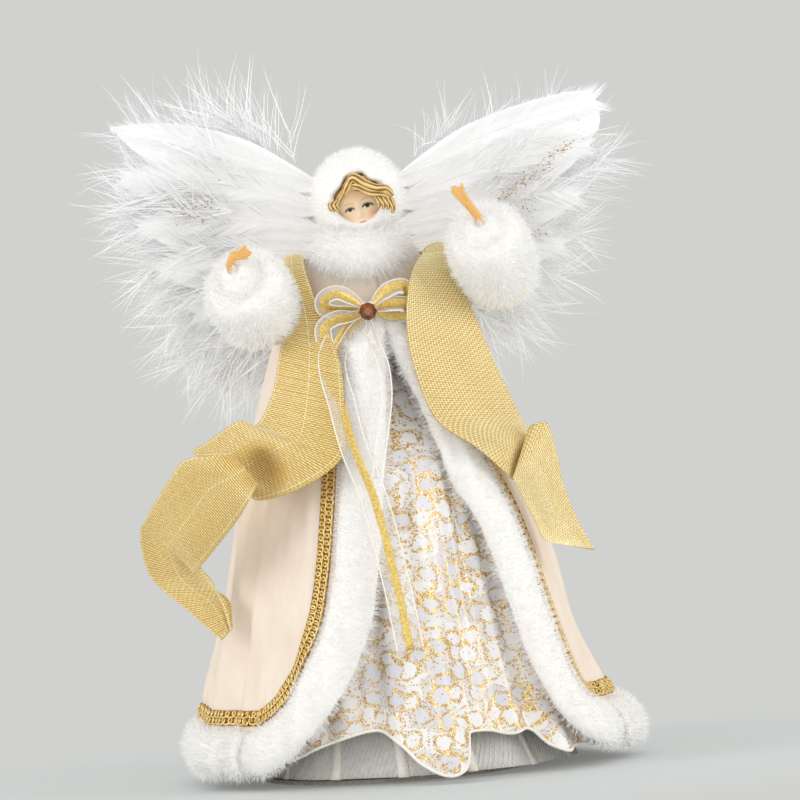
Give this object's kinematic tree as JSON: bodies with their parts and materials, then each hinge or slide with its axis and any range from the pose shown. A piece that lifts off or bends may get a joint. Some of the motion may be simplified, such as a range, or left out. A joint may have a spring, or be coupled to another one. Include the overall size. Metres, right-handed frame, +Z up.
{
  "type": "fairy tree topper",
  "caption": "Doll on an open cone for the top of a tree, in a fur-trimmed robe and patterned gown, with turning head, bendable arms and folding feather wings.",
  "frame": {"origin": "on the cone's axis, level with the foot of its rim, where the tree's leader enters", "axes": "+Z up along the cone's axis, -Y the way the figure faces, +X on the viewer's right"},
  "size_m": [0.228, 0.1896, 0.2972],
  "materials": {
    "card": "matt card",
    "net": "stiff open net",
    "foam": "matt moulded foam",
    "peg": "plain dowel",
    "painted_resin": "satin paint",
    "painted_hair": "satin paint",
    "fur": "short soft pile",
    "velvet": "fine matt nap",
    "braid": "metallic woven braid",
    "satin": "satin with raised glitter rings",
    "wire": "drawn wire",
    "ribbon": "open metallic weave",
    "organza": "sheer with corded edges",
    "bead": "faceted and polished",
    "backing": "white card",
    "feather": "downy feather"
  },
  "bodies": {
    "figure": {"support_cone": "card", "petticoat": "net", "bust": "foam", "robe": "velvet", "fur_edge_right": "fur", "fur_edge_left": "fur", "fur_hem": "fur", "braid_right": "braid", "braid_left": "braid", "braid_hem": "braid", "gown": "satin", "collar": "fur", "stole_left": "ribbon", "stole_right": "ribbon", "stole_back": "ribbon", "bow_knot": "organza", "bow_bead": "bead", "bow_loop_left_upper": "organza", "bow_loop_left_lower": "organza", "bow_loop_right_upper": "organza", "bow_loop_right_lower": "organza", "bow_tail_left": "organza", "bow_tail_right": "organza", "wing_bridge": "foam"},
    "head": {"head": "painted_resin", "hair": "painted_hair", "hood": "fur", "neck_peg": "peg"},
    "left_arm": {"sleeve_left": "velvet", "cuff_left": "fur", "arm_wire_left": "wire", "hand_left": "painted_resin"},
    "left_wing": {"wing_backing_left": "backing", "wing_wire_left": "wire", "feather_left_1": "feather", "feather_left_2": "feather", "feather_left_3": "feather", "feather_left_4": "feather", "feather_left_5": "feather", "marabou_lower_left": "feather", "marabou_outer_left": "feather", "marabou_top_left": "feather"},
    "right_arm": {"sleeve_right": "velvet", "cuff_right": "fur", "arm_wire_right": "wire", "hand_right": "painted_resin"},
    "right_wing": {"wing_backing_right": "backing", "wing_wire_right": "wire", "feather_right_1": "feather", "feather_right_2": "feather", "feather_right_3": "feather", "feather_right_4": "feather", "feather_right_5": "feather", "marabou_lower_right": "feather", "marabou_outer_right": "feather", "marabou_top_right": "feather"}
  },
  "joints": [
    {"name": "head_turn", "type": "hinge", "parent": "figure", "child": "head", "pos_m": [0, -0.002, 0.222], "axis": [0, 0, 1], "range_deg": [-25, 25]},
    {"name": "left_arm_swing", "type": "hinge", "parent": "figure", "child": "left_arm", "pos_m": [-0.027, -0.001, 0.208], "axis": [0, 0, 1], "range_deg": [-40, 0]},
    {"name": "right_arm_swing", "type": "hinge", "parent": "figure", "child": "right_arm", "pos_m": [0.027, -0.001, 0.208], "axis": [0, 0, 1], "range_deg": [0, 40]},
    {"name": "left_wing_fold", "type": "hinge", "parent": "figure", "child": "left_wing", "pos_m": [-0.009, 0.036, 0.202], "axis": [0, 0, 1], "range_deg": [-55, 5]},
    {"name": "right_wing_fold", "type": "hinge", "parent": "figure", "child": "right_wing", "pos_m": [0.009, 0.036, 0.202], "axis": [0, 0, 1], "range_deg": [-5, 55]}
  ]
}
